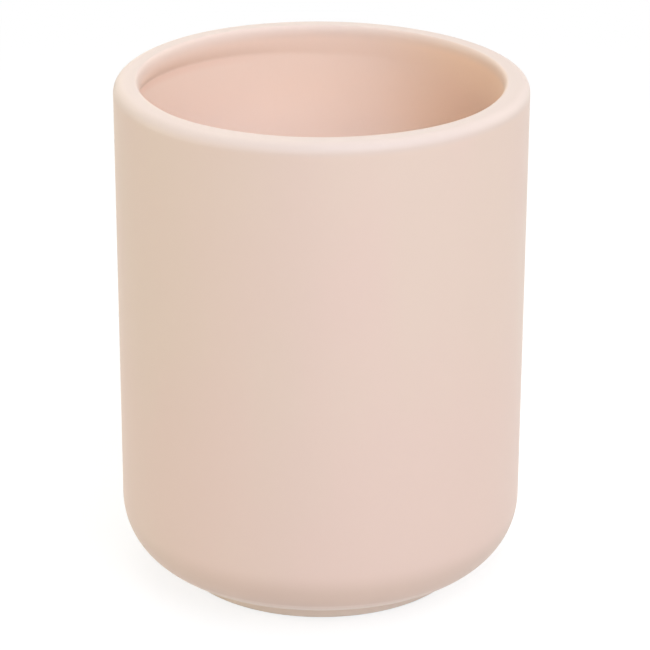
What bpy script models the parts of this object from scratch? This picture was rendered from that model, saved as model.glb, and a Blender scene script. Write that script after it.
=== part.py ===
# A ceramic tumbler that holds toothbrushes upright, standing on four soft pads.
#
# Units are metres and +Z is up. The origin is the middle of the plane that the pads stand on.
# The tumbler is one turned piece: a straight wall, a thicker lip rolled inwards round the mouth,
# a floor, a big round at the bottom edge and a low foot ring that is hollow underneath.
# Four round pads are stuck up inside the foot ring and reach a little below it.

import math

import bpy

# Outer form of the tumbler
OUTER_RADIUS = 0.0400
BODY_HEIGHT = 0.1014
BASE_ROUND_WIDTH = 0.0103
BASE_ROUND_HEIGHT = 0.0118

# Lip rolled inwards round the mouth
LIP_THICKNESS = 0.0047
LIP_HEIGHT = 0.0056
LIP_COVE = 0.0002
RIM_OUTER_ROUND = 0.0026
RIM_INNER_WIDTH = 0.0008
RIM_INNER_HEIGHT = 0.0030

# Wall and floor
WALL_THICKNESS = 0.0042
FLOOR_THICKNESS = 0.0050
FLOOR_ROUND = 0.0080

# Foot ring under the body
FOOT_RADIUS = 0.0294
FOOT_HEIGHT = 0.0030
FOOT_WIDTH = 0.0036
FOOT_FILLET = 0.0005
FOOT_EDGE_ROUND = 0.0005
RECESS_DEPTH = 0.0024
RECESS_FILLET = 0.0008

# Soft pads inside the foot ring
PAD_COUNT = 4
PAD_RADIUS = 0.0045
PAD_PROUD = 0.0005
PAD_EDGE_ROUND = 0.0007
PAD_TOP_ROUND = 0.0002
PAD_GLUE_GAP = 0.0003
PAD_TO_RING = 0.0020
PAD_FIRST_ANGLE = math.radians(45)

# Fineness of the surfaces: steps round the axis, and steps along each kind of round
TURN_STEPS = 72
PAD_TURN_STEPS = 24
FLOOR_ROUND_STEPS = 8
BASE_ROUND_STEPS = 9
RIM_OUTER_STEPS = 6
RIM_INNER_STEPS = 6
LIP_ROLL_STEPS = 7
SMALL_ROUND_STEPS = 3
EDGE_ROUND_STEPS = 2
SCREW_MERGE = 0.00001

# Levels and radii that follow from the sizes above
RING_Z = PAD_PROUD
UNDERSIDE_Z = RING_Z + FOOT_HEIGHT
RECESS_Z = RING_Z + RECESS_DEPTH
FLOOR_Z = RECESS_Z + FLOOR_THICKNESS
RIM_Z = RING_Z + BODY_HEIGHT
LIP_UNDER_Z = RIM_Z - LIP_HEIGHT
INNER_RADIUS = OUTER_RADIUS - WALL_THICKNESS
LIP_RADIUS = OUTER_RADIUS - LIP_THICKNESS
LIP_OVERHANG = LIP_THICKNESS - WALL_THICKNESS
FOOT_INNER_RADIUS = FOOT_RADIUS - FOOT_WIDTH
PAD_CIRCLE_RADIUS = FOOT_INNER_RADIUS - RECESS_FILLET - PAD_TO_RING - PAD_RADIUS
PAD_TOP_Z = RECESS_Z - PAD_GLUE_GAP

# Colours as sRGB hex values, with roughness
GLAZE_COLOUR, GLAZE_ROUGHNESS = "EBD3C5", 0.55
PAD_COLOUR, PAD_ROUGHNESS = "DAD9D4", 0.45


def linear_colour(hex_code):
    """Turn an sRGB hex value into the linear colour that a shader takes."""
    channels = [int(hex_code[i:i + 2], 16) / 255 for i in (0, 2, 4)]
    linear = [c / 12.92 if c <= 0.04045 else ((c + 0.055) / 1.055) ** 2.4 for c in channels]
    return (*linear, 1.0)


def make_material(name, hex_code, roughness):
    """A plain non-metal surface of one colour."""
    material = bpy.data.materials.new(name)
    material.use_nodes = True
    shader = material.node_tree.nodes["Principled BSDF"]
    shader.inputs["Base Color"].default_value = linear_colour(hex_code)
    shader.inputs["Roughness"].default_value = roughness
    shader.inputs["Metallic"].default_value = 0.0
    material.diffuse_color = linear_colour(hex_code)
    return material


def arc(centre_r, centre_z, width, height, start, end, steps):
    """Points round an ellipse from start to end, in degrees from the outward direction."""
    angles = [math.radians(start + (end - start) * i / steps) for i in range(steps + 1)]
    return [(centre_r + width * math.cos(a), centre_z + height * math.sin(a)) for a in angles]


def tumbler_profile():
    """Half section, from the middle of the floor up the inside, over the rim and down the outside."""
    cup_corner = arc(INNER_RADIUS - FLOOR_ROUND, FLOOR_Z + FLOOR_ROUND,
                     FLOOR_ROUND, FLOOR_ROUND, -90, 0, FLOOR_ROUND_STEPS)
    lip_cove = arc(INNER_RADIUS - LIP_COVE, LIP_UNDER_Z - LIP_COVE,
                   LIP_COVE, LIP_COVE, 0, 90, EDGE_ROUND_STEPS)
    lip_roll = arc(INNER_RADIUS - LIP_COVE, RIM_Z - RIM_INNER_HEIGHT,
                   LIP_OVERHANG - LIP_COVE, LIP_HEIGHT - RIM_INNER_HEIGHT, 270, 180, LIP_ROLL_STEPS)
    rim_inside = arc(LIP_RADIUS + RIM_INNER_WIDTH, RIM_Z - RIM_INNER_HEIGHT,
                     RIM_INNER_WIDTH, RIM_INNER_HEIGHT, 180, 90, RIM_INNER_STEPS)
    rim_outside = arc(OUTER_RADIUS - RIM_OUTER_ROUND, RIM_Z - RIM_OUTER_ROUND,
                      RIM_OUTER_ROUND, RIM_OUTER_ROUND, 90, 0, RIM_OUTER_STEPS)
    base_round = arc(OUTER_RADIUS - BASE_ROUND_WIDTH, UNDERSIDE_Z + BASE_ROUND_HEIGHT,
                     BASE_ROUND_WIDTH, BASE_ROUND_HEIGHT, 0, -90, BASE_ROUND_STEPS)
    foot_cove = arc(FOOT_RADIUS + FOOT_FILLET, UNDERSIDE_Z - FOOT_FILLET,
                    FOOT_FILLET, FOOT_FILLET, 90, 180, EDGE_ROUND_STEPS)
    foot_outside = arc(FOOT_RADIUS - FOOT_EDGE_ROUND, RING_Z + FOOT_EDGE_ROUND,
                       FOOT_EDGE_ROUND, FOOT_EDGE_ROUND, 0, -90, EDGE_ROUND_STEPS)
    foot_inside = arc(FOOT_INNER_RADIUS + FOOT_EDGE_ROUND, RING_Z + FOOT_EDGE_ROUND,
                      FOOT_EDGE_ROUND, FOOT_EDGE_ROUND, 270, 180, EDGE_ROUND_STEPS)
    recess_corner = arc(FOOT_INNER_RADIUS - RECESS_FILLET, RECESS_Z - RECESS_FILLET,
                        RECESS_FILLET, RECESS_FILLET, 0, 90, SMALL_ROUND_STEPS)
    inside = [(0, FLOOR_Z), *cup_corner, *lip_cove, *lip_roll[1:], *rim_inside[1:]]
    outside = [*rim_outside, *base_round, *foot_cove, *foot_outside]
    underside = [*foot_inside, *recess_corner, (0, RECESS_Z)]
    return inside + outside + underside


def pad_profile():
    """Half section of a pad, from the middle of its glued top down its side to its resting face."""
    top_edge = arc(PAD_RADIUS - PAD_TOP_ROUND, PAD_TOP_Z - PAD_TOP_ROUND,
                   PAD_TOP_ROUND, PAD_TOP_ROUND, 90, 0, EDGE_ROUND_STEPS)
    low_edge = arc(PAD_RADIUS - PAD_EDGE_ROUND, PAD_EDGE_ROUND,
                   PAD_EDGE_ROUND, PAD_EDGE_ROUND, 0, -90, SMALL_ROUND_STEPS)
    return [(0, PAD_TOP_Z), *top_edge, *low_edge, (0, 0)]


def turn(name, profile, steps, material, collection):
    """Turn a half section in the XZ plane once round Z, with the Screw modifier."""
    points = [(r, 0, z) for r, z in profile]
    edges = [(i, i + 1) for i in range(len(points) - 1)]
    mesh = bpy.data.meshes.new(name)
    mesh.from_pydata(points, edges, [])
    mesh.materials.append(material)
    turned = bpy.data.objects.new(name, mesh)
    collection.objects.link(turned)
    screw = turned.modifiers.new("Turn", "SCREW")
    screw.axis = "Z"
    screw.angle = math.tau
    screw.steps = steps
    screw.render_steps = steps
    screw.use_merge_vertices = True
    screw.merge_threshold = SCREW_MERGE
    screw.use_smooth_shade = True
    return turned


def clear_scene():
    """Remove every object, so that the file holds only this model."""
    for leftover in list(bpy.data.objects):
        bpy.data.objects.remove(leftover, do_unlink=True)


def main():
    clear_scene()
    collection = bpy.data.collections.new("toothbrush_holder")
    bpy.context.scene.collection.children.link(collection)

    # The tumbler
    glaze = make_material("matte_glazed_ceramic", GLAZE_COLOUR, GLAZE_ROUGHNESS)
    tumbler = turn("tumbler_body", tumbler_profile(), TURN_STEPS, glaze, collection)

    # The pads, evenly round the inside of the foot ring
    silicone = make_material("clear_silicone", PAD_COLOUR, PAD_ROUGHNESS)
    for i in range(PAD_COUNT):
        pad = turn(f"anti_slip_pad_{i + 1}", pad_profile(), PAD_TURN_STEPS, silicone, collection)
        angle = PAD_FIRST_ANGLE + math.tau * i / PAD_COUNT
        pad.location = (PAD_CIRCLE_RADIUS * math.cos(angle), PAD_CIRCLE_RADIUS * math.sin(angle), 0)
        pad.parent = tumbler


main()
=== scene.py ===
# %% [markdown]
# # A matte ceramic tumbler for toothbrushes
#
# The object is one plain cup of pale pink stoneware that stands on a washbasin and holds brushes upright.
# It has no lid, handle or insert. What makes it look real is small: how softly its rim is rounded, how the
# lip rolls inwards over the wall, how the glaze thins on the edges, and how light bounces about inside.
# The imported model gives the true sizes, so it is loaded first and never moved.

import bpy
import numpy as np
from mathutils import Matrix, Vector


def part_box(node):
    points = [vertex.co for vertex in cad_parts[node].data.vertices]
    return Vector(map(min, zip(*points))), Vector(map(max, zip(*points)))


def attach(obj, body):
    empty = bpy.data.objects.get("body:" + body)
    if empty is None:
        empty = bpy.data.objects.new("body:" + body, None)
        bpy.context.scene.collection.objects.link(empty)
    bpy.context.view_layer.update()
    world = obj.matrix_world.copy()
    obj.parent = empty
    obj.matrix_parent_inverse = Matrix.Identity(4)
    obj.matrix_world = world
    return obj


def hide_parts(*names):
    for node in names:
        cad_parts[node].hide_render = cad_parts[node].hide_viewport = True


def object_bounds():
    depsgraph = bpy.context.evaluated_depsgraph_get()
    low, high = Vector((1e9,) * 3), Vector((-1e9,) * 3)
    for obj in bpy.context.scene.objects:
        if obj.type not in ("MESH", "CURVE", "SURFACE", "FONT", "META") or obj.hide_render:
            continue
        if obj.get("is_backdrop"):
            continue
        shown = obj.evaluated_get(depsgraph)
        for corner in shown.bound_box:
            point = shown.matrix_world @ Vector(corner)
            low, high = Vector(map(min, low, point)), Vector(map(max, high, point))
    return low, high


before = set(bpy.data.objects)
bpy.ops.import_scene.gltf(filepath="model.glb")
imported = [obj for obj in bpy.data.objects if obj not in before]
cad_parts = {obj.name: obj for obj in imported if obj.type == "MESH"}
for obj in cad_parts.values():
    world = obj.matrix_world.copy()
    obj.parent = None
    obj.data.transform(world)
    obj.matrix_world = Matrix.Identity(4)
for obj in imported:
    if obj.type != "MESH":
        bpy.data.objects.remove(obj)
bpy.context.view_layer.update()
body_low, body_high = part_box("tumbler_body")
MM = 0.001

# %% [markdown]
# ## Surfaces from a half section
#
# A tumbler like this is cast in a round plaster mould, so each part of it is a half section carried round one
# axis. A lathe or Screw modifier would do that, but its surface would be perfectly true. Here the section is
# an array of points and the turn is a second array, and the two are multiplied into one grid. That leaves
# room to push every point a little along its own normal, which is what makes a cast wall look cast.

# %% Helpers for half sections
def ellipse_arc(centre_r, centre_z, width, height, start, end, count):
    """Points on part of an ellipse: the centre plus width times cosine and height times sine, in even degrees."""
    turn = np.radians(np.linspace(start, end, count))
    return np.stack([centre_r + width * np.cos(turn), centre_z + height * np.sin(turn)], axis=1)


def straight(start, end, count):
    """Start times (1 minus share) plus end times share, at even shares, without the ends that its neighbours hold."""
    share = np.linspace(0, 1, count + 2)[1:-1, None]
    return np.array(start) * (1 - share) + np.array(end) * share


def section_normals(section):
    """The outward normal at each point of a half section: its direction of travel, turned a quarter to the left."""
    along = np.gradient(section, axis=0)
    normal = np.stack([-along[..., 1], along[..., 0]], axis=-1)
    return normal / np.linalg.norm(normal, axis=-1, keepdims=True)


print("half a turn in three points:", ellipse_arc(0, 0, 1, 1, 0, 180, 3).round(2).tolist())


# %% A closed skin from rings of points
def skin(name, rings, first_pole, last_pole):
    """Join rings of points, rows by columns, into one closed surface, with a fan of triangles to each pole."""
    rows, columns, _ = rings.shape
    here = np.arange(rows * columns).reshape(rows, columns)
    beside = np.roll(here, -1, axis=1)
    quads = np.stack([here[:-1], here[1:], beside[1:], beside[:-1]], axis=-1).reshape(-1, 4)
    first = np.full(columns, rows * columns)
    fans = np.concatenate([
        np.stack([first, here[0], beside[0]], axis=-1),
        np.stack([first + 1, beside[-1], here[-1]], axis=-1),
    ])
    points = np.concatenate([rings.reshape(-1, 3), [first_pole, last_pole]])
    mesh = bpy.data.meshes.new(name)
    mesh.from_pydata(points, [], quads.tolist() + fans.tolist())
    mesh.validate()
    mesh.shade_smooth()
    made = bpy.data.objects.new(name, mesh)
    bpy.context.scene.collection.objects.link(made)
    print(f"{name}: {len(mesh.polygons)} faces")
    return made


# %% [markdown]
# ## The tumbler
#
# The real one is slip-cast stoneware. Its wall is straight, and the rim is a thicker band that rolls inwards
# and leaves a soft groove under it. The bottom edge is one big round that runs into a low foot ring. A single
# closed surface suits it, because the inside, the rim, the outside and the hollow foot are one fired piece.
# The sizes are the model's own, read from its box where they can be, and named here where they can't.

# %% Sizes of the tumbler
OUTER_RADIUS = body_high.x
RIM_Z = body_high.z
RING_Z = body_low.z
WALL, LIP = 4.2 * MM, 4.92 * MM
RIM_INNER_WIDTH = 0.85 * MM
FLOOR_THICKNESS, FLOOR_ROUND = 5.0 * MM, 8.0 * MM
BASE_ROUND_WIDTH, BASE_ROUND_HEIGHT = 10.6 * MM, 12.0 * MM
FOOT_RADIUS, FOOT_WIDTH, FOOT_HEIGHT = 29.4 * MM, 3.6 * MM, 2.8 * MM
FOOT_ROUND, RECESS_DEPTH, RECESS_FILLET = 0.5 * MM, 2.4 * MM, 0.8 * MM

INNER_RADIUS = OUTER_RADIUS - WALL
LIP_RADIUS = OUTER_RADIUS - LIP
UNDERSIDE_Z = RING_Z + FOOT_HEIGHT
RECESS_Z = RING_Z + RECESS_DEPTH
FLOOR_Z = RECESS_Z + FLOOR_THICKNESS
FOOT_INNER_RADIUS = FOOT_RADIUS - FOOT_WIDTH
print(f"mouth {2 * LIP_RADIUS / MM:.1f} mm across, cup {(RIM_Z - FLOOR_Z) / MM:.1f} mm deep")


# %% [markdown]
# ## The lip
#
# The lip was sponged by hand while the cup turned, so the groove under it isn't level. On the left it lies
# high and deep, and on the right it is low and nearly gone. The rim's outer edge changes too, from a soft round
# on the left to a tighter one on the right. A boolean cut or a sculpted groove could show that. Two half sections,
# one for each side, are simpler, and are mixed by the cosine of the angle round the mouth.

# %% The tumbler's half section
# Each lip: depth of its rounded inner edge, depth where the groove ends, how far the groove is cut back, and
# the round of the outer edge
LEFT_LIP = (2.2 * MM, 4.9 * MM, 0.95 * MM, 2.3 * MM)
RIGHT_LIP = (1.8 * MM, 7.4 * MM, 0.04 * MM, 2.0 * MM)
GROOVE_TURN, GROOVE_POINTS = 0.74, 30


def lip_underside(edge_depth, end_depth, groove):
    """The radius is the running sum of a slope that grows evenly with depth, and then soon falls back to nothing."""
    share = np.linspace(0, 1, GROOVE_POINTS)
    slope = np.minimum(share / GROOVE_TURN, (1 - share) / (1 - GROOVE_TURN))
    depth = edge_depth + (end_depth - edge_depth) * share
    return np.stack([LIP_RADIUS + groove * np.cumsum(slope) / slope.sum(), RIM_Z - depth], axis=1)[::-1]


def tumbler_section(edge_depth, end_depth, groove, outer_round):
    """From the floor's middle up the inside, over the rim, down the outside and in under the foot.

    Each part is a straight line or a quarter of an ellipse, and its last number is how many points it gets.
    """
    floor = straight((0, FLOOR_Z), (INNER_RADIUS - FLOOR_ROUND, FLOOR_Z), 10)
    corner = ellipse_arc(INNER_RADIUS - FLOOR_ROUND, FLOOR_Z + FLOOR_ROUND, FLOOR_ROUND, FLOOR_ROUND, -90, 0, 16)
    under = lip_underside(edge_depth, end_depth, groove)
    inside = straight(corner[-1], under[0], 34)
    rim_in = ellipse_arc(LIP_RADIUS + RIM_INNER_WIDTH, RIM_Z - edge_depth, RIM_INNER_WIDTH, edge_depth, 180, 90, 18)
    rim_top = straight(rim_in[-1], (OUTER_RADIUS - outer_round, RIM_Z), 3)
    rim_out = ellipse_arc(OUTER_RADIUS - outer_round, RIM_Z - outer_round, outer_round, outer_round, 90, 0, 16)
    outside = straight(rim_out[-1], (OUTER_RADIUS, UNDERSIDE_Z + BASE_ROUND_HEIGHT), 44)
    base = ellipse_arc(OUTER_RADIUS - BASE_ROUND_WIDTH, UNDERSIDE_Z + BASE_ROUND_HEIGHT,
                       BASE_ROUND_WIDTH, BASE_ROUND_HEIGHT, 0, -90, 26)
    neck = ellipse_arc(FOOT_RADIUS + FOOT_ROUND, UNDERSIDE_Z - FOOT_ROUND, FOOT_ROUND, FOOT_ROUND, 90, 180, 6)
    foot_side = straight(neck[-1], (FOOT_RADIUS, RING_Z + FOOT_ROUND), 8)
    foot_out = ellipse_arc(FOOT_RADIUS - FOOT_ROUND, RING_Z + FOOT_ROUND, FOOT_ROUND, FOOT_ROUND, 0, -90, 6)
    foot_face = straight(foot_out[-1], (FOOT_INNER_RADIUS + FOOT_ROUND, RING_Z), 4)
    foot_in = ellipse_arc(FOOT_INNER_RADIUS + FOOT_ROUND, RING_Z + FOOT_ROUND, FOOT_ROUND, FOOT_ROUND, 270, 180, 6)
    recess = ellipse_arc(FOOT_INNER_RADIUS - RECESS_FILLET, RECESS_Z - RECESS_FILLET,
                         RECESS_FILLET, RECESS_FILLET, 0, 90, 8)
    hollow = straight(recess[-1], (0, RECESS_Z), 8)
    return np.concatenate([floor, corner, inside, under[:-1], rim_in, rim_top, rim_out, outside, base[:-1],
                           neck, foot_side, foot_out, foot_face, foot_in, recess, hollow])


left_section, right_section = tumbler_section(*LEFT_LIP), tumbler_section(*RIGHT_LIP)
print(f"{len(right_section)} points in each half section")

# %% [markdown]
# ## How far a cast wall strays from true
#
# Plaster moulds wear, and a wet cup sags a little as it is lifted out and sponged down. The wall ends up a
# tenth of a millimetre or so out of round, in slow waves that lean as they climb. Noise would be too busy
# for that, so the drift is a sum of a few cosines of the angle round the wall and the height up it. It is
# added along the section's own normals, and it dies out towards the floor's middle and the flat foot.

# %% Turn the section and let the wall drift
COLUMNS = 360
GROOVE_FADE = 1.5
WAVES = [
    # waves round the wall, size in mm, start in degrees, lean in degrees per mm of height
    (1, 0.060, 180, 0.0),
    (2, 0.060, 20, 0.5),
    (3, 0.040, 110, -0.9),
    (5, 0.020, 250, 1.7),
    (7, 0.010, 60, -2.6),
]


def wall_drift(turn, z):
    """Sum over the waves of size times the cosine of (waves times angle, plus start, plus lean times height)."""
    waves, size, start, lean = (np.array(column)[:, None, None] for column in zip(*WAVES))
    phase = waves * turn + np.radians(start + lean * z / MM)
    return (size * MM * np.cos(phase)).sum(axis=0)


turn = np.linspace(0, 2 * np.pi, COLUMNS, endpoint=False)[None, :, None]
leftness = ((1 - np.cos(turn)) / 2) ** GROOVE_FADE
section = left_section[:, None] * leftness + right_section[:, None] * (1 - leftness)
radius, z = section[..., 0], section[..., 1]
from_axis = np.clip(radius / INNER_RADIUS, 0, 1)
from_foot = np.clip((z - RING_Z) / UNDERSIDE_Z, 0, 1)
drift = wall_drift(turn[..., 0], z) * from_axis * from_foot
section = section + section_normals(section) * drift[..., None]
print(f"the wall strays {abs(drift).max() / MM:.2f} mm at most")

# %% [markdown]
# ## Finger marks on the mouth
#
# The cup was lifted out of its mould by the front of its rim, while the clay could still give. That leaves two
# flat places on the mouth's inner edge, less than half a millimetre deep, and a wider one at the front left
# where the rim's outer edge sank. Each is a bell curve of the angle round the mouth. The first two fade within
# a millimetre of the edge, and the sunk one grows outwards over the rim and fades down the wall.

# %% Press the mouth and close the skin
FINGER_MARKS = [
    # direction and spread in degrees, depth in mm, at the mouth's inner edge
    (-40, 15, 0.40),
    (-137, 13, 0.40),
]
SUNK_MARKS = [
    # the same at the rim's outer edge, before it fades over the rim
    (-128, 26, 0.75),
]
GIVE_WIDTH, GIVE_DEPTH, SINK_DEPTH = 1.0 * MM, 3.0 * MM, 5.0 * MM


def bell_curves(turn, marks):
    """Sum over the marks of depth times e to the minus square of (angle from the mark over its spread)."""
    place, spread, depth = (np.array(column)[:, None, None] for column in zip(*marks))
    away = (np.degrees(turn) - place + 180) % 360 - 180
    return (depth * MM * np.exp(-(away / spread) ** 2)).sum(axis=0)


# The give is whole down to its depth under the rim, and gone at twice that
near_edge = np.exp(-((radius - LIP_RADIUS) / GIVE_WIDTH) ** 2)
near_top = np.clip(2 - (RIM_Z - z) / GIVE_DEPTH, 0, 1)
give = bell_curves(turn[..., 0], FINGER_MARKS) * near_edge * near_top
outwards = np.clip((radius - LIP_RADIUS) / LIP, 0, 1)
upwards = np.clip(1 - (RIM_Z - z) / SINK_DEPTH, 0, 1)
sink = bell_curves(turn[..., 0], SUNK_MARKS) * outwards * upwards
section += np.stack([give, -sink], axis=-1)
rings = np.concatenate([section[..., :1] * np.cos(turn), section[..., :1] * np.sin(turn), section[..., 1:]], axis=2)
tumbler = skin("glazed_tumbler", rings, (0, 0, FLOOR_Z), (0, 0, RECESS_Z))
print(f"the mouth gives {give.max() / MM:.2f} mm and sinks {sink.max() / MM:.2f} mm at most")

# %% [markdown]
# ## The pads under the foot
#
# Four soft bumpers keep the fired foot from scratching a basin and from sliding. A real one is moulded in
# clear silicone with a rounded lower edge and a dished face, and is stuck on with a disc of clear film. Both
# are turned shapes too, so they use the same skin as the tumbler, moved to each pad's place in the model.

# %% Half sections of the small pieces
PAD_ROUND, PAD_TOP_ROUND, PAD_DISH = 0.7 * MM, 0.2 * MM, 0.12 * MM
FILM_INSET, FILM_CLEAR = 0.25 * MM, 0.02 * MM
PAD_COLUMNS, FILM_COLUMNS = 64, 48


def turned(name, half, centre, columns):
    """Radius times the cosine and sine of the angle round an upright axis, moved to a centre in the plane."""
    angle = np.linspace(0, 2 * np.pi, columns, endpoint=False)[None, :]
    r, height = half[:, :1], half[:, 1:]
    flat = np.stack([r * np.cos(angle), r * np.sin(angle), height + 0 * angle], axis=2)
    place = np.array([centre.x, centre.y, 0])
    return skin(name, flat[1:-1] + place, flat[0, 0] * (0, 0, 1) + place, flat[-1, 0] * (0, 0, 1) + place)


def pad_half(size, top):
    """Down a pad's side and in over its dish, whose depth is the square of (1 minus the squared share outwards)."""
    crown = straight((0, top), (size - PAD_TOP_ROUND, top), 3)
    shoulder = ellipse_arc(size - PAD_TOP_ROUND, top - PAD_TOP_ROUND, PAD_TOP_ROUND, PAD_TOP_ROUND, 90, 0, 4)
    edge = ellipse_arc(size - PAD_ROUND, PAD_ROUND, PAD_ROUND, PAD_ROUND, 0, -90, 8)
    inward = np.linspace(1, 0, 12)[1:, None]
    dish = np.hstack([inward * (size - PAD_ROUND), PAD_DISH * (1 - inward ** 2) ** 2])
    return np.concatenate([[(0, top)], crown, shoulder, edge, dish])


def film_half(size, low, high):
    """A thin disc: out along its top, down its edge and back along its underside."""
    top = straight((0, high), (size, high), 2)
    under = straight((size, low), (0, low), 2)
    return np.concatenate([[(0, high)], top, [(size, high), (size, low)], under, [(0, low)]])


print(f"a pad's edge has a round of {PAD_ROUND / MM} mm, and its face a dish of {PAD_DISH / MM} mm")

# %% Bumpers and their adhesive discs
pad_nodes = sorted(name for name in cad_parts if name.startswith("anti_slip_pad"))
pads, films = [], []
for number, node in enumerate(pad_nodes, start=1):
    low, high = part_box(node)
    centre = (low + high) / 2
    size = (high.x - low.x) / 2
    pads.append(turned(f"silicone_bumper_{number}", pad_half(size, high.z), centre, PAD_COLUMNS))
    film = film_half(size - FILM_INSET, high.z + FILM_CLEAR, RECESS_Z - FILM_CLEAR)
    films.append(turned(f"adhesive_disc_{number}", film, centre, FILM_COLUMNS))

# %% [markdown]
# ## Mixing the finishes
#
# Every finish is built from nodes in the object's own coordinates, so it stays put whatever the camera does.
# Colours are picked as the hex values that a screen shows, and one function turns them to the linear numbers
# that a shader works in. One more function adds a node, sets it and links it, which keeps each finish short.

# %% Colour and node helpers
def linear(hex_code):
    """Undo the sRGB curve of a hex colour: a straight part near black and a 2.4 power above it."""
    screen = np.array([int(hex_code[i:i + 2], 16) for i in (1, 3, 5)]) / 255
    light = np.where(screen <= 0.04045, screen / 12.92, ((screen + 0.055) / 1.055) ** 2.4)
    return (*light.tolist(), 1.0)


def add(tree, kind, settings=None, **inputs):
    """Add a node of a kind, set its properties, and give each input a plain value, a socket or another node.

    An input goes by its name, or by _0, _1 or _2, its place among the inputs that the settings leave in use.
    """
    node = tree.nodes.new(kind)
    for name, value in (settings or {}).items():
        setattr(node, name, value)
    used = [socket for socket in node.inputs if socket.enabled]
    named = {socket.name: socket for socket in used}
    for name, value in inputs.items():
        socket = used[int(name[1:])] if name[1:].isdigit() else named[name.replace("_", " ")]
        if isinstance(value, bpy.types.Node):
            value = next(output for output in value.outputs if output.enabled)
        if isinstance(value, bpy.types.NodeSocket):
            tree.links.new(value, socket)
        else:
            socket.default_value = value
    return node


def new_finish(name):
    """An empty material, its node tree, and the object coordinates that its patterns are laid out in."""
    material = bpy.data.materials.new(name)
    material.use_nodes = True
    material.node_tree.nodes.clear()
    place = add(material.node_tree, "ShaderNodeTexCoord").outputs["Object"]
    return material, material.node_tree, place


def scale_for(size_mm):
    """The noise scale whose features are about this many millimetres across."""
    return 1 / (size_mm * MM)


SMOOTH = {"interpolation_type": "SMOOTHSTEP"}
COLOURS, NUMBERS = {"data_type": "RGBA"}, {"data_type": "FLOAT"}
TIMES, TIMES_PLUS = {"operation": "MULTIPLY"}, {"operation": "MULTIPLY_ADD"}
print("a pale pink in linear numbers:", [round(c, 3) for c in linear("#EAD0C3")[:3]])

# %% [markdown]
# ## Matte glaze on stoneware
#
# The cup wears a magnesium matte glaze, tinted pink. Fine crystals in it scatter light, so its gloss is a
# broad, weak sheen with a faint haze at grazing angles. Its shades follow how the coat was put on: sprayed
# outside, poured inside, thin where it ran off the rim, and wiped from the foot. Some shades are painted light
# and shade on top of that: darker round the bottom edge, on the mouth's inner edge and in the groove, paler
# inside the cup and deeper down, warmer where bounce light falls on the inside's right, a pale bare foot
# against its shade, and a pale highlight low on the bottom edge. An image texture could hold that, but it
# would need unwrapping. Here each shade is a smooth step along the height, along the distance from the axis
# or across the cup, and the steps are mixed one over another.

# %% Glaze: three measures of place
glaze, tree, place = new_finish("matte_glazed_stoneware")
parts = add(tree, "ShaderNodeSeparateXYZ", Vector=place).outputs
across, height = parts["X"], parts["Z"]
flat = add(tree, "ShaderNodeVectorMath", TIMES, _0=place, _1=(1, 1, 0))
reach = add(tree, "ShaderNodeVectorMath", {"operation": "LENGTH"}, _0=flat)
print("across, height and reach are in metres")

# %% [markdown]
# ### The sprayed outside
#
# Outside, the tone drifts between sandier and pinker in patches a few centimetres wide and twice as tall. It
# gets pinker downwards, where the wet coat sagged and stayed thicker. Round the bottom edge, where the cup
# turns under, a darker colour is painted shade.

# %% Glaze: sprayed outside, with painted shade under the bottom edge
# The last colour is painted shade for the round under the bottom edge
GLAZE_SAND, GLAZE_PINK, GLAZE_UNDER_SHADE = "#E9D2C3", "#EAD0C3", "#E2C9BA"
PATCH_MM, PATCH_SQUASH, PATCH_LOW, PATCH_HIGH = 24, 0.5, 0.40, 0.75
SAG_TOP, SAG_BOTTOM, SAG_PINK = 62 * MM, 20 * MM, 0.25
UNDER_SHADE_TOP, UNDER_SHADE_BOTTOM = 15 * MM, 10 * MM

squashed = add(tree, "ShaderNodeMapping", Vector=place, Scale=(1, 1, PATCH_SQUASH))
patches = add(tree, "ShaderNodeTexNoise", Vector=squashed, Scale=scale_for(PATCH_MM), Detail=2.0)
sagged = add(tree, "ShaderNodeMapRange", SMOOTH, Value=height, From_Min=SAG_TOP, From_Max=SAG_BOTTOM)
pinkness = add(tree, "ShaderNodeMath", TIMES_PLUS, _0=sagged, _1=SAG_PINK, _2=patches)
pink = add(tree, "ShaderNodeMapRange", SMOOTH, Value=pinkness, From_Min=PATCH_LOW, From_Max=PATCH_HIGH)
tone = add(tree, "ShaderNodeMix", COLOURS, _0=pink, _1=linear(GLAZE_SAND), _2=linear(GLAZE_PINK))
# Painted shade: a darker colour on the round where the bottom edge turns under
under_shade = add(tree, "ShaderNodeMapRange", SMOOTH, Value=height, From_Min=UNDER_SHADE_TOP, From_Max=UNDER_SHADE_BOTTOM)
outside = add(tree, "ShaderNodeMix", COLOURS, _0=under_shade, _1=tone, _2=linear(GLAZE_UNDER_SHADE))
print(f"{len(tree.nodes)} nodes for the outside")

# %% [markdown]
# ### The poured inside
#
# Inside, the glaze was poured in and out again. Its colour is paler than outside, as painted light that lifts
# the shade inside the cup, and paler still deep down. High on the right, which is in shade, it is painted warmer
# as the bounce light that falls there. In the groove on the left, where the groove is deep, it is painted
# darker as shade. The groove climbs from right to left, so the band that follows it is a step along a tilted
# height.

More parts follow.
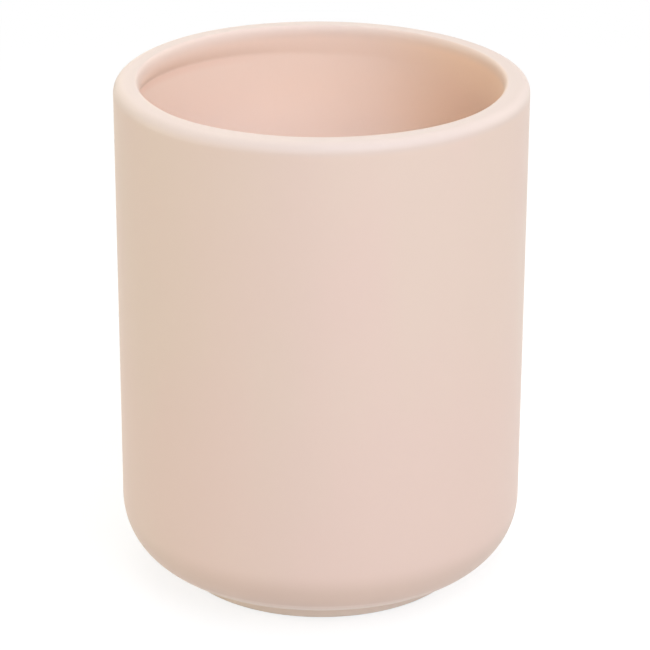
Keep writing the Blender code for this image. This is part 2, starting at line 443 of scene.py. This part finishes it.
# %% Glaze: poured inside, with painted light and shade
# Colours: the inside lifted by painted light, paler painted light deep down, warm painted bounce light on the right,
# painted shade in the groove
GLAZE_POURED_AND_LIGHT, GLAZE_DEEP_LIGHT, GLAZE_BOUNCE_LIGHT, GLAZE_GROOVE_SHADE = "#FAE3D5", "#FCEAE0", "#FEE0C8", "#F7DBCC"
DEEP_LIGHT_FROM, DEEP_LIGHT_TO = RIM_Z - 12 * MM, RIM_Z - 28 * MM
BOUNCE_FROM, BOUNCE_TO = 8 * MM, 30 * MM
BOUNCE_LOW, BOUNCE_HIGH = RIM_Z - 65 * MM, RIM_Z - 35 * MM
GROOVE_TILT = (RIGHT_LIP[1] - LEFT_LIP[1]) / (2 * INNER_RADIUS)
GROOVE_LEVEL = RIM_Z - (RIGHT_LIP[1] + LEFT_LIP[1]) / 2
GROOVE_SHADE_ABOVE, GROOVE_SHADE_FULL, GROOVE_SHADE_BELOW = 0.4 * MM, -0.2 * MM, -1.9 * MM
GROOVE_SHADE_FROM, GROOVE_SHADE_TO = -5 * MM, -32 * MM

# Painted light: paler deep inside the cup, where less light reaches
deep_light = add(tree, "ShaderNodeMapRange", SMOOTH, Value=height, From_Min=DEEP_LIGHT_FROM, From_Max=DEEP_LIGHT_TO)
poured_and_light = add(tree, "ShaderNodeMix", COLOURS, _0=deep_light, _1=linear(GLAZE_POURED_AND_LIGHT), _2=linear(GLAZE_DEEP_LIGHT))
# Painted bounce light: warmer and more orange high on the inside's right, which is in shade
bounce_side = add(tree, "ShaderNodeMapRange", SMOOTH, Value=across, From_Min=BOUNCE_FROM, From_Max=BOUNCE_TO)
bounce_up = add(tree, "ShaderNodeMapRange", SMOOTH, Value=height, From_Min=BOUNCE_LOW, From_Max=BOUNCE_HIGH)
bounce_light = add(tree, "ShaderNodeMath", TIMES, _0=bounce_side, _1=bounce_up)
with_bounce_light = add(tree, "ShaderNodeMix", COLOURS, _0=bounce_light, _1=poured_and_light, _2=linear(GLAZE_BOUNCE_LIGHT))

# Painted shade: a darker, warmer band along the groove on the left, where it is deepest
tilted = add(tree, "ShaderNodeMath", TIMES_PLUS, _0=across, _1=GROOVE_TILT, _2=height)
groove_shade_upper = add(tree, "ShaderNodeMapRange", SMOOTH, Value=tilted, From_Min=GROOVE_LEVEL + GROOVE_SHADE_ABOVE,
            From_Max=GROOVE_LEVEL + GROOVE_SHADE_FULL)
under = add(tree, "ShaderNodeMapRange", SMOOTH, Value=tilted, From_Min=GROOVE_LEVEL + GROOVE_SHADE_BELOW,
            From_Max=GROOVE_LEVEL + GROOVE_SHADE_FULL)
groove_shade_band = add(tree, "ShaderNodeMath", TIMES, _0=groove_shade_upper, _1=under)
groove_shade_left = add(tree, "ShaderNodeMapRange", SMOOTH, Value=across, From_Min=GROOVE_SHADE_FROM, From_Max=GROOVE_SHADE_TO)
groove_shade = add(tree, "ShaderNodeMath", TIMES, _0=groove_shade_band, _1=groove_shade_left)
inside = add(tree, "ShaderNodeMix", COLOURS, _0=groove_shade, _1=with_bounce_light, _2=linear(GLAZE_GROOVE_SHADE))
print(f"{len(tree.nodes)} nodes with the inside")

# %% [markdown]
# ### Over the rim
#
# The two coats meet under the rim's flat top, behind the inside's surface, and both stop short of the hollow
# foot. Glaze runs off an edge, so the coat is thin and paler on the top and the outer edge. Down the lip the
# same colour fades in from the mouth: partly thin glaze, and partly painted shade that dulls the light on the
# mouth's inner edge.

# %% Glaze: join and thin the coats, with painted shade on the lip
MEET_OUTER, MEET_INNER = INNER_RADIUS + 1.4 * MM, INNER_RADIUS + 0.2 * MM
FLOOR_FROM, FLOOR_TO = FLOOR_Z - 2.0 * MM, FLOOR_Z - 1.0 * MM
GLAZE_THIN_AND_SHADE = "#E5D4CB"
THIN_BAND, THIN_FROM = 3.0 * MM, 0.8 * MM
LIP_THIN_SHADE_END, LIP_THIN_SHADE_START, LIP_THIN_SHADE_SHARE = 3.2 * MM, 0.4 * MM, 0.7
OVER_FROM, OVER_TO = LIP_RADIUS + 0.4 * MM, LIP_RADIUS + 1.1 * MM

within = add(tree, "ShaderNodeMapRange", SMOOTH, Value=reach, From_Min=MEET_OUTER, From_Max=MEET_INNER)
above = add(tree, "ShaderNodeMapRange", SMOOTH, Value=height, From_Min=FLOOR_FROM, From_Max=FLOOR_TO)
indoors = add(tree, "ShaderNodeMath", TIMES, _0=within, _1=above)
coat = add(tree, "ShaderNodeMix", COLOURS, _0=indoors, _1=outside, _2=inside)

outer_edge = add(tree, "ShaderNodeMapRange", SMOOTH, Value=height, From_Min=RIM_Z - THIN_BAND,
                 From_Max=RIM_Z - THIN_FROM)
# Painted shade on the lip: the thin colour, from the mouth's inner edge down, dulls the light on that edge
lip_shade_edge = add(tree, "ShaderNodeMapRange", SMOOTH, Value=height, From_Min=RIM_Z - LIP_THIN_SHADE_END,
               From_Max=RIM_Z - LIP_THIN_SHADE_START)
lip_thin_and_shade = add(tree, "ShaderNodeMath", TIMES, _0=lip_shade_edge, _1=LIP_THIN_SHADE_SHARE)
over = add(tree, "ShaderNodeMapRange", SMOOTH, Value=reach, From_Min=OVER_FROM, From_Max=OVER_TO)
thin_and_shade = add(tree, "ShaderNodeMix", NUMBERS, _0=over, _1=lip_thin_and_shade, _2=outer_edge)
thinned_and_shaded = add(tree, "ShaderNodeMix", COLOURS, _0=thin_and_shade, _1=coat, _2=linear(GLAZE_THIN_AND_SHADE))
print(f"{len(tree.nodes)} nodes with the rim")

# %% [markdown]
# ### The wiped foot
#
# The foot is wiped with a sponge before firing, or it would stick to the kiln shelf. So on the foot the coat
# stops at a line that wanders a little. The bare clay beyond the line is the colour of the body, made pale
# enough that it also lifts the shade under the bottom edge as painted light, and has no sheen. Just above the
# foot a pale band is a painted highlight: the bright line that light draws along the bottom edge.

# %% Glaze: wiped foot, with painted light and a painted highlight
# The clay colour is partly painted light: pale enough to lift the shade under the bottom edge
BARE_CLAY_AND_LIGHT = "#FCEBDF"
HIGHLIGHT_TOP, HIGHLIGHT_BOTTOM, HIGHLIGHT_IN, HIGHLIGHT_SHARE = 6.6 * MM, 5.6 * MM, 6 * MM, 0.6
GLAZE_LINE, LINE_SOFT, WANDER, WANDER_MM = 2.45 * MM, 0.05 * MM, 0.30 * MM, 3

# Painted highlight: a pale band low on the bottom edge, just above the foot
highlight_low = add(tree, "ShaderNodeMapRange", SMOOTH, Value=height, From_Min=HIGHLIGHT_TOP, From_Max=HIGHLIGHT_BOTTOM)
highlight_out = add(tree, "ShaderNodeMapRange", SMOOTH, Value=reach, From_Min=FOOT_RADIUS - HIGHLIGHT_IN,
              From_Max=FOOT_RADIUS)
foot_highlight = add(tree, "ShaderNodeMath", TIMES, _0=highlight_low, _1=highlight_out)
foot_highlight = add(tree, "ShaderNodeMath", TIMES, _0=foot_highlight, _1=HIGHLIGHT_SHARE)
with_foot_highlight = add(tree, "ShaderNodeMix", COLOURS, _0=foot_highlight, _1=thinned_and_shaded, _2=linear(BARE_CLAY_AND_LIGHT))

ragged = add(tree, "ShaderNodeTexNoise", Vector=place, Scale=scale_for(WANDER_MM), Detail=3.0)
wandered = add(tree, "ShaderNodeMath", TIMES_PLUS, _0=ragged, _1=WANDER, _2=height)
wiped = add(tree, "ShaderNodeMapRange", SMOOTH, Value=wandered, From_Min=GLAZE_LINE + LINE_SOFT,
            From_Max=GLAZE_LINE - LINE_SOFT)
# The wiped foot in the clay colour, which also lifts its shade as painted light
colour = add(tree, "ShaderNodeMix", COLOURS, _0=wiped, _1=with_foot_highlight, _2=linear(BARE_CLAY_AND_LIGHT))
print(f"the glaze ends about {(GLAZE_LINE - WANDER / 2) / MM:.1f} mm above the table")

# %% [markdown]
# ### Sheen and grain
#
# Fired glaze is glass, with an index of about 1.5. Its roughness varies a little where the crystals grew
# thicker. Its surface has the slow dimples that potters call orange peel, 2 mm across, and a grain on top. The
# real crystals are far finer than a pixel, so the grain is drawn 0.4 mm wide to show at all.

# %% Glaze: sheen and grain
GLAZE_IOR, GLAZE_ROUGH, CLAY_ROUGH = 1.50, (0.46, 0.54), 0.85
CRYSTAL_HAZE, HAZE_ROUGH = 0.15, 0.35
CRYSTAL_MM, PEEL_MM, GRAIN_MM = 6, 2, 0.4
PEEL_HEIGHT, GRAIN_HEIGHT = 0.012 * MM, 0.003 * MM

crystals = add(tree, "ShaderNodeTexNoise", Vector=place, Scale=scale_for(CRYSTAL_MM), Detail=3.0)
sheen = add(tree, "ShaderNodeMapRange", Value=crystals, To_Min=GLAZE_ROUGH[0], To_Max=GLAZE_ROUGH[1])
rough = add(tree, "ShaderNodeMix", NUMBERS, _0=wiped, _1=sheen, _2=CLAY_ROUGH)
peel = add(tree, "ShaderNodeTexNoise", Vector=place, Scale=scale_for(PEEL_MM), Detail=1.0)
grain = add(tree, "ShaderNodeTexNoise", Vector=place, Scale=scale_for(GRAIN_MM), Detail=2.0)
dimples = add(tree, "ShaderNodeBump", Height=peel, Distance=PEEL_HEIGHT)
bump = add(tree, "ShaderNodeBump", Height=grain, Distance=GRAIN_HEIGHT, Normal=dimples)
surface = add(tree, "ShaderNodeBsdfPrincipled", Base_Color=colour, Roughness=rough, IOR=GLAZE_IOR,
              Sheen_Weight=CRYSTAL_HAZE, Sheen_Roughness=HAZE_ROUGH, Normal=bump)
add(tree, "ShaderNodeOutputMaterial", Surface=surface)
tumbler.data.materials.append(glaze)
print(f"{len(tree.nodes)} nodes in the glaze")

# %% [markdown]
# ## Clear silicone and adhesive film
#
# The bumpers are moulded silicone rubber, water-clear when new and faintly grey in thick parts. They look
# milky because their faces are slightly frosted by the mould. The film is a thin acrylic disc with a glossier
# face. Both sit in shadow, so their job is to read as soft and clear beside the clay when seen from below.

# %% Frosted silicone
SILICONE, SILICONE_IOR, SILICONE_ROUGH = "#DCDBD6", 1.41, (0.30, 0.42)
FROST_MM, FROST_HEIGHT = 0.6, 0.006 * MM

silicone, tree, place = new_finish("frosted_silicone_rubber")
frost = add(tree, "ShaderNodeTexNoise", Vector=place, Scale=scale_for(FROST_MM), Detail=2.0)
rough = add(tree, "ShaderNodeMapRange", Value=frost, To_Min=SILICONE_ROUGH[0], To_Max=SILICONE_ROUGH[1])
bump = add(tree, "ShaderNodeBump", Height=frost, Distance=FROST_HEIGHT)
surface = add(tree, "ShaderNodeBsdfPrincipled", Base_Color=linear(SILICONE), Roughness=rough, IOR=SILICONE_IOR,
              Normal=bump)
add(tree, "ShaderNodeOutputMaterial", Surface=surface)
for pad in pads:
    pad.data.materials.append(silicone)
print(f"silicone on {len(pads)} bumpers")

# %% Die-cut acrylic film, faintly streaked where it was pressed
FILM, FILM_IOR, FILM_ROUGH, STREAK_MM = "#E8E2D2", 1.47, 0.35, 1.5

adhesive, tree, place = new_finish("acrylic_adhesive_film")
streak = add(tree, "ShaderNodeTexNoise", Vector=place, Scale=scale_for(STREAK_MM), Detail=2.0)
tint = add(tree, "ShaderNodeMix", COLOURS, _0=streak, _1=linear(FILM), _2=linear(SILICONE))
surface = add(tree, "ShaderNodeBsdfPrincipled", Base_Color=tint, Roughness=FILM_ROUGH, IOR=FILM_IOR)
add(tree, "ShaderNodeOutputMaterial", Surface=surface)
for film in films:
    film.data.materials.append(adhesive)
print(f"film on {len(films)} discs")

# %% [markdown]
# ## Putting the pieces on the model
#
# The glazed surface stands for the model's plain tumbler, and each bumper for a plain pad. The adhesive discs
# fill the gap that the model leaves between them. Everything rides on the one body, since nothing moves.

# %% Tie the pieces to the frame
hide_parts("tumbler_body")
for pad, node in zip(pads, pad_nodes):
    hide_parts(node)
for piece in [tumbler, *pads, *films]:
    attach(piece, "root")
print(f"{1 + len(pads)} pieces stand for the model's own, and {len(films)} are new")

# %% [markdown]
# ## The camera
#
# The camera stands in front and above, close to half a metre away, and looks down into the mouth. Its place,
# tilt and lens were found by fitting the tumbler's outline and mouth to the picture. The picture is 650 pixels
# square, and the lens is given by how many pixels one radian covers at its centre.

# %% Camera
PICTURE = 650
PIXELS_PER_RADIAN = 2853.7
AXIS_PIXEL = 320.80
CAMERA_BACK, CAMERA_ABOVE_RIM = 524.8 * MM, 164.5 * MM
CAMERA_TILT, CAMERA_ROLL = np.radians(22.362), 0.0030  # in radians

camera_data = bpy.data.cameras.new("picture_camera")
camera_data.lens = PIXELS_PER_RADIAN / PICTURE * camera_data.sensor_width
camera = bpy.data.objects.new("picture_camera", camera_data)
bpy.context.scene.collection.objects.link(camera)
turn_right = np.arctan((PICTURE / 2 - AXIS_PIXEL) / PIXELS_PER_RADIAN)
aim = (Matrix.Rotation(-turn_right, 4, "Z") @ Matrix.Rotation(np.pi / 2 - CAMERA_TILT, 4, "X")
       @ Matrix.Rotation(CAMERA_ROLL, 4, "Z"))
camera.matrix_world = Matrix.Translation((0, -CAMERA_BACK, RIM_Z + CAMERA_ABOVE_RIM)) @ aim
bpy.context.scene.camera = camera
print(f"lens {camera_data.lens:.1f} mm")

# %% [markdown]
# ## Floor and light
#
# The tumbler stands on a plain white table in a white studio. The camera sees the table as white through the
# table's own glow, which only the camera and reflections see, so the cup isn't lit by it and its soft shadow
# stays. Away from the cup it is all glow, so it ends in the same white as the studio from every side. For all
# other light the table is plain diffuse paint. The lamps are soft boxes on all sides, with cool light from the
# front right and warmer light from the back left. Small ones low at the left, at the right and in front stand
# for the light that nearby things throw back.

# %% Table
TABLE_PAINT, TABLE_SHADED, TABLE_GLOW = "#E7E7E7", "#8F8F8F", 0.80
TABLE_HALF, SHADOW_REACH, WHITE_FROM = 1.5, 0.15, 0.40  # in metres from the middle


def background_rays(tree):
    """1 for what the camera sees, straight or by way of a shiny or clear surface, and 0 for light on its way."""
    rays = add(tree, "ShaderNodeLightPath").outputs
    shiny = add(tree, "ShaderNodeMath", {"operation": "MAXIMUM"}, _0=rays["Is Camera Ray"], _1=rays["Is Glossy Ray"])
    return add(tree, "ShaderNodeMath", {"operation": "MAXIMUM"}, _0=shiny, _1=rays["Is Transmission Ray"])


white_table = bpy.data.materials.new("white_table")
white_table.use_nodes = True
tree = white_table.node_tree
tree.nodes.clear()
paint = add(tree, "ShaderNodeBsdfDiffuse", Color=linear(TABLE_PAINT))
shaded = add(tree, "ShaderNodeBsdfDiffuse", Color=linear(TABLE_SHADED))
glow = add(tree, "ShaderNodeEmission", Color=linear("#FFFFFF"), Strength=TABLE_GLOW)
near = add(tree, "ShaderNodeAddShader", _0=shaded, _1=glow)
far = add(tree, "ShaderNodeEmission", Color=linear("#FFFFFF"), Strength=1.0)
place = add(tree, "ShaderNodeTexCoord").outputs["Object"]
away = add(tree, "ShaderNodeVectorMath", {"operation": "LENGTH"}, _0=place)
farness = add(tree, "ShaderNodeMapRange", SMOOTH, Value=away, From_Min=SHADOW_REACH, From_Max=WHITE_FROM)
seen = add(tree, "ShaderNodeMixShader", _0=farness, _1=near, _2=far)
mixed = add(tree, "ShaderNodeMixShader", _0=background_rays(tree), _1=paint, _2=seen)
add(tree, "ShaderNodeOutputMaterial", Surface=mixed)

corners = TABLE_HALF * np.array([(-1, -1, 0), (1, -1, 0), (1, 1, 0), (-1, 1, 0)])
table_mesh = bpy.data.meshes.new("table")
table_mesh.from_pydata(corners, [], [(0, 1, 2, 3)])
table_mesh.materials.append(white_table)
table = bpy.data.objects.new("table", table_mesh)
bpy.context.scene.collection.objects.link(table)
table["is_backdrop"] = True
print(f"table {2 * TABLE_HALF:.0f} m across")

# %% Studio light
SOFTBOXES = [
    # name, azimuth and elevation in degrees, distance and side in metres, power in watts, colour
    ("top_softbox", 0, 88, 1.0, 0.80, 3.33, "#FFFAFC"),
    ("key_softbox", 45, 40, 1.0, 0.80, 4.00, "#E6EFFF"),
    ("front_softbox", 0, 38, 1.0, 0.80, 4.05, "#FDFCFF"),
    ("low_front_fill", 0, 16, 1.0, 0.50, 0.95, "#FFF3D9"),
    ("low_left_strip", -95, 7, 1.0, 0.26, 2.55, "#FFFBDD"),
    ("back_left_softbox", -150, 30, 1.0, 0.80, 2.55, "#FFEED9"),
    ("back_softbox", 180, 60, 1.0, 0.80, 1.45, "#E5FFF2"),
    ("right_softbox", 120, 30, 1.0, 0.80, 2.60, "#FFEEE6"),
    ("low_right_fill", 110, 14, 1.0, 0.50, 0.70, "#F6FFD3"),
]


def softbox(name, azimuth, elevation, distance, side, power, colour):
    """A square soft light that faces the tumbler's middle from a direction: 0 is the camera's side, 90 the right."""
    data = bpy.data.lights.new(name, "AREA")
    data.size = side
    data.energy = power
    data.color = linear(colour)[:3]
    across, up = np.radians(azimuth), np.radians(elevation)
    away = Vector((np.sin(across) * np.cos(up), -np.cos(across) * np.cos(up), np.sin(up)))
    lamp = bpy.data.objects.new(name, data)
    lamp.matrix_world = (Matrix.Translation(Vector((0, 0, RIM_Z / 2)) + away * distance)
                         @ away.to_track_quat("Z", "Y").to_matrix().to_4x4())
    bpy.context.scene.collection.objects.link(lamp)


for box in SOFTBOXES:
    softbox(*box)
print(f"{len(SOFTBOXES)} soft boxes")

# %% [markdown]
# ### The white room
#
# The world is white where the camera or a reflection looks, and nearly dark for all other light, so the white
# backdrop adds no light to the cup. The colours are shown as they are, with the Standard view.

# %% White room
ROOM_LIGHT = 0.01

world = bpy.data.worlds.new("white_studio")
world.use_nodes = True
world.node_tree.nodes.clear()
bpy.context.scene.world = world
level = add(world.node_tree, "ShaderNodeMapRange", Value=background_rays(world.node_tree), To_Min=ROOM_LIGHT)
room = add(world.node_tree, "ShaderNodeBackground", Color=linear("#FFFFFF"), Strength=level)
add(world.node_tree, "ShaderNodeOutputWorld", Surface=room)
bpy.context.scene.view_settings.view_transform = "Standard"
print(f"the room itself gives {ROOM_LIGHT:.0%} of full light")

# %% Measure and finish
low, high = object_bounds()
print("visual box in mm:", [round(c / MM, 2) for c in low], [round(c / MM, 2) for c in high])
